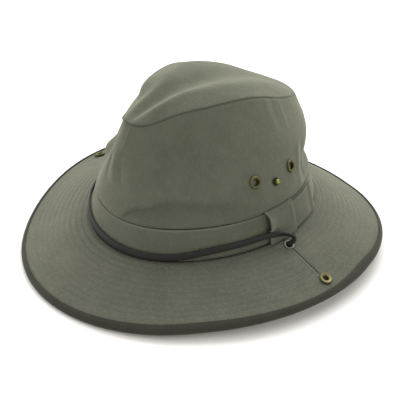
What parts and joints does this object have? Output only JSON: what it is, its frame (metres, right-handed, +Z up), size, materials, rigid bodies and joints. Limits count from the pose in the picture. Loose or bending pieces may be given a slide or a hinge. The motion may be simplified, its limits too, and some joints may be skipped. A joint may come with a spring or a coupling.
{
  "type": "traveller hat",
  "caption": "Olive cotton traveller hat with a pinched crown, sloping bound brim, folded hat band, dark chin lace, vent eyelets and side snaps.",
  "frame": {"origin": "middle of the hat's plan, at the height of the surface that it rests on", "axes": "+Z up, the front of the hat towards -Y, the wearer's left towards +X"},
  "size_m": [0.299, 0.3278, 0.1518],
  "materials": {
    "cotton": "brushed cotton twill, matt",
    "brim_cotton": "stiffened cotton twill with rows of topstitching, matt",
    "binding": "dark cotton tape, matt",
    "lace": "dark flat leather lace, satin",
    "antique_brass": "antique brass, satin"
  },
  "bodies": {
    "root": {"crown_side": "cotton", "crown_tip": "cotton", "brim": "brim_cotton", "brim_binding": "binding", "hat_band": "cotton", "band_tail": "cotton", "band_keeper": "cotton", "chin_lace_front": "lace", "chin_lace_under": "lace", "lace_eyelet_left": "antique_brass", "lace_eyelet_right": "antique_brass", "crown_eyelet_left_front": "antique_brass", "crown_eyelet_left_back": "antique_brass", "crown_eyelet_right_front": "antique_brass", "crown_eyelet_right_back": "antique_brass", "crown_snap_left": "antique_brass", "crown_snap_right": "antique_brass", "brim_snap_left": "antique_brass", "brim_snap_right": "antique_brass"}
  },
  "joints": []
}
